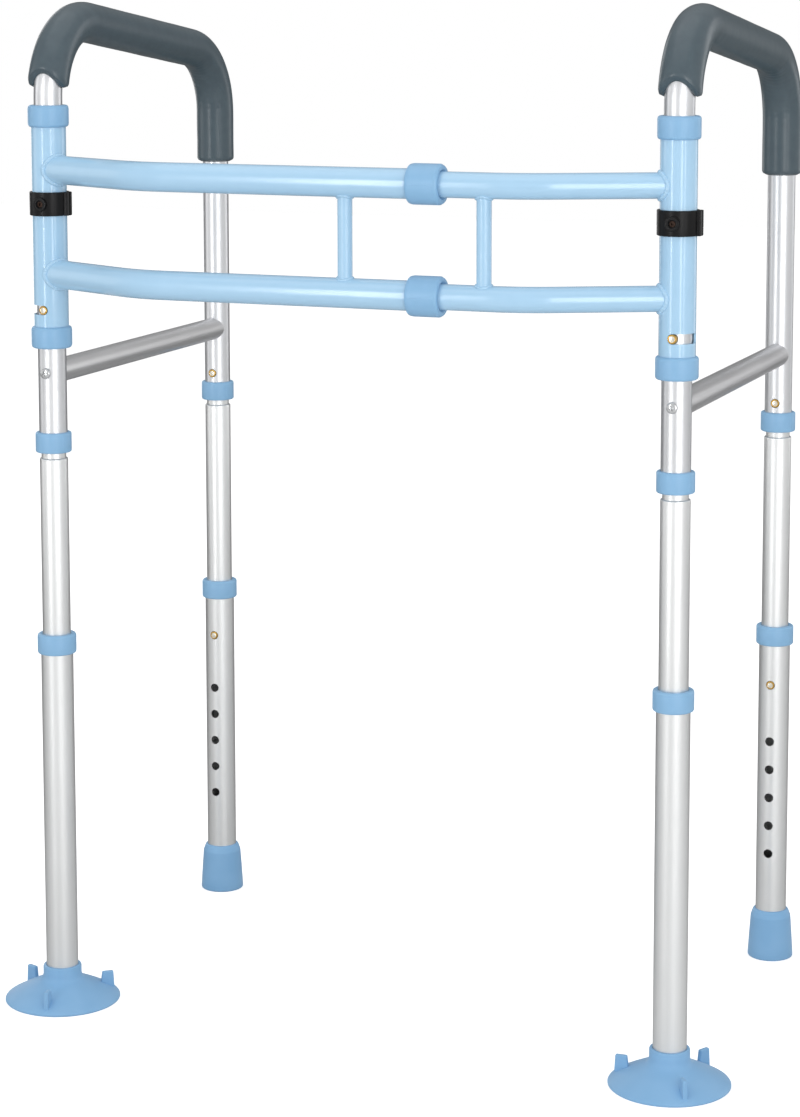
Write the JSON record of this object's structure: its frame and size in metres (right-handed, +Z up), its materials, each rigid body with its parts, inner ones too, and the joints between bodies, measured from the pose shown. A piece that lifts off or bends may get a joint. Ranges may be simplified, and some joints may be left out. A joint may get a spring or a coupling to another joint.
{
  "type": "toilet safety frame",
  "caption": "Free-standing toilet safety frame with padded armrests, swivelling side frames, a telescoping crossbar and height-adjustable legs on suction cups and rubber tips.",
  "frame": {"origin": "on the floor, under the middle of the whole frame's box", "axes": "+Z up; +Y from the crossbar side, which stands behind the toilet's user, to the open side; +X to the right of someone facing the crossbars"},
  "size_m": [0.6, 0.3898, 0.799],
  "materials": {
    "powder_coat": "gloss powder coat",
    "blue_plastic": "satin moulded plastic",
    "blue_rubber": "matte rubber",
    "anodised_aluminium": "satin anodised",
    "grip_foam": "closed-cell foam, slight sheen",
    "black_plastic": "satin",
    "bronzed_screw": "bronzed",
    "bright_steel": "bright",
    "brass_button": "polished"
  },
  "bodies": {
    "cross_frame": {"left_sleeve": "powder_coat", "left_sleeve_collars": "blue_plastic", "left_upper_bar": "powder_coat", "left_lower_bar": "powder_coat", "left_strut": "powder_coat", "bar_ferrules": "blue_plastic", "left_clamp_ring": "black_plastic", "left_clamp_screw": "bronzed_screw"},
    "right_cross_half": {"right_sleeve": "powder_coat", "right_sleeve_collars": "blue_plastic", "right_upper_bar": "powder_coat", "right_lower_bar": "powder_coat", "right_strut": "powder_coat", "right_clamp_ring": "black_plastic", "right_clamp_screw": "bronzed_screw", "width_button_springs": "bright_steel"},
    "upper_width_button": {"upper_width_button": "brass_button"},
    "lower_width_button": {"lower_width_button": "brass_button"},
    "left_side_frame": {"left_handle_tube": "anodised_aluminium", "left_foam_grip": "grip_foam", "left_side_bar": "anodised_aluminium", "left_side_bar_screws": "bright_steel", "left_joint_collars": "blue_plastic", "left_cup_leg_extension": "anodised_aluminium", "left_tip_leg_extension": "anodised_aluminium", "left_button_springs": "bright_steel"},
    "left_cup_leg": {"left_cup_leg_tube": "anodised_aluminium", "left_cup_leg_collar": "blue_plastic", "left_suction_cup": "blue_rubber"},
    "left_tip_leg": {"left_tip_leg_tube": "anodised_aluminium", "left_tip_leg_collar": "blue_plastic", "left_rubber_tip": "blue_rubber"},
    "left_sleeve_button": {"left_sleeve_button": "brass_button"},
    "left_cup_joint_button": {"left_cup_joint_button": "brass_button"},
    "left_tip_joint_button": {"left_tip_joint_button": "brass_button"},
    "left_cup_height_button": {"left_cup_height_button": "brass_button"},
    "left_tip_height_button": {"left_tip_height_button": "brass_button"},
    "right_side_frame": {"right_handle_tube": "anodised_aluminium", "right_foam_grip": "grip_foam", "right_side_bar": "anodised_aluminium", "right_side_bar_screws": "bright_steel", "right_joint_collars": "blue_plastic", "right_cup_leg_extension": "anodised_aluminium", "right_tip_leg_extension": "anodised_aluminium", "right_button_springs": "bright_steel"},
    "right_cup_leg": {"right_cup_leg_tube": "anodised_aluminium", "right_cup_leg_collar": "blue_plastic", "right_suction_cup": "blue_rubber"},
    "right_tip_leg": {"right_tip_leg_tube": "anodised_aluminium", "right_tip_leg_collar": "blue_plastic", "right_rubber_tip": "blue_rubber"},
    "right_sleeve_button": {"right_sleeve_button": "brass_button"},
    "right_cup_joint_button": {"right_cup_joint_button": "brass_button"},
    "right_tip_joint_button": {"right_tip_joint_button": "brass_button"},
    "right_cup_height_button": {"right_cup_height_button": "brass_button"},
    "right_tip_height_button": {"right_tip_height_button": "brass_button"}
  },
  "joints": [
    {"name": "width_slide", "type": "slide", "parent": "cross_frame", "child": "right_cross_half", "axis": [1, 0, 0], "range_m": [-0.02, 0.1]},
    {"name": "upper_width_button_press", "type": "slide", "parent": "right_cross_half", "child": "upper_width_button", "axis": [0, -1, 0], "range_m": [0, 0.003], "stiffness_N_per_m": 2000, "deforming": ["width_button_springs"]},
    {"name": "lower_width_button_press", "type": "slide", "parent": "right_cross_half", "child": "lower_width_button", "axis": [0, -1, 0], "range_m": [0, 0.003], "stiffness_N_per_m": 2000, "deforming": ["width_button_springs"]},
    {"name": "left_swivel", "type": "hinge", "parent": "cross_frame", "child": "left_side_frame", "pos_m": [-0.254, -0.12987, 0], "axis": [0, 0, 1], "range_deg": [-90, 0]},
    {"name": "left_cup_leg_slide", "type": "slide", "parent": "left_side_frame", "child": "left_cup_leg", "axis": [0, 0, 1], "range_m": [0, 0.144], "deforming": ["left_cup_height_button"]},
    {"name": "left_tip_leg_slide", "type": "slide", "parent": "left_side_frame", "child": "left_tip_leg", "axis": [0, 0, 1], "range_m": [0, 0.144], "deforming": ["left_tip_height_button"]},
    {"name": "left_sleeve_button_press", "type": "slide", "parent": "left_side_frame", "child": "left_sleeve_button", "axis": [0, 1, 0], "range_m": [0, 0.003], "stiffness_N_per_m": 2000, "deforming": ["left_button_springs"]},
    {"name": "left_cup_joint_button_press", "type": "slide", "parent": "left_side_frame", "child": "left_cup_joint_button", "axis": [0, -1, 0], "range_m": [0, 0.003], "stiffness_N_per_m": 2000, "deforming": ["left_button_springs"]},
    {"name": "left_tip_joint_button_press", "type": "slide", "parent": "left_side_frame", "child": "left_tip_joint_button", "axis": [0, 1, 0], "range_m": [0, 0.003], "stiffness_N_per_m": 2000, "deforming": ["left_button_springs"]},
    {"name": "left_cup_height_button_press", "type": "slide", "parent": "left_side_frame", "child": "left_cup_height_button", "axis": [0, -1, 0], "range_m": [0, 0.003], "stiffness_N_per_m": 2000, "deforming": ["left_button_springs"]},
    {"name": "left_tip_height_button_press", "type": "slide", "parent": "left_side_frame", "child": "left_tip_height_button", "axis": [0, 1, 0], "range_m": [0, 0.003], "stiffness_N_per_m": 2000, "deforming": ["left_button_springs"]},
    {"name": "right_swivel", "type": "hinge", "parent": "right_cross_half", "child": "right_side_frame", "pos_m": [0.254, -0.12987, 0], "axis": [0, 0, 1], "range_deg": [0, 90]},
    {"name": "right_cup_leg_slide", "type": "slide", "parent": "right_side_frame", "child": "right_cup_leg", "axis": [0, 0, 1], "range_m": [0, 0.144], "deforming": ["right_cup_height_button"]},
    {"name": "right_tip_leg_slide", "type": "slide", "parent": "right_side_frame", "child": "right_tip_leg", "axis": [0, 0, 1], "range_m": [0, 0.144], "deforming": ["right_tip_height_button"]},
    {"name": "right_sleeve_button_press", "type": "slide", "parent": "right_side_frame", "child": "right_sleeve_button", "axis": [0, 1, 0], "range_m": [0, 0.003], "stiffness_N_per_m": 2000, "deforming": ["right_button_springs"]},
    {"name": "right_cup_joint_button_press", "type": "slide", "parent": "right_side_frame", "child": "right_cup_joint_button", "axis": [0, -1, 0], "range_m": [0, 0.003], "stiffness_N_per_m": 2000, "deforming": ["right_button_springs"]},
    {"name": "right_tip_joint_button_press", "type": "slide", "parent": "right_side_frame", "child": "right_tip_joint_button", "axis": [0, 1, 0], "range_m": [0, 0.003], "stiffness_N_per_m": 2000, "deforming": ["right_button_springs"]},
    {"name": "right_cup_height_button_press", "type": "slide", "parent": "right_side_frame", "child": "right_cup_height_button", "axis": [0, -1, 0], "range_m": [0, 0.003], "stiffness_N_per_m": 2000, "deforming": ["right_button_springs"]},
    {"name": "right_tip_height_button_press", "type": "slide", "parent": "right_side_frame", "child": "right_tip_height_button", "axis": [0, 1, 0], "range_m": [0, 0.003], "stiffness_N_per_m": 2000, "deforming": ["right_button_springs"]}
  ]
}
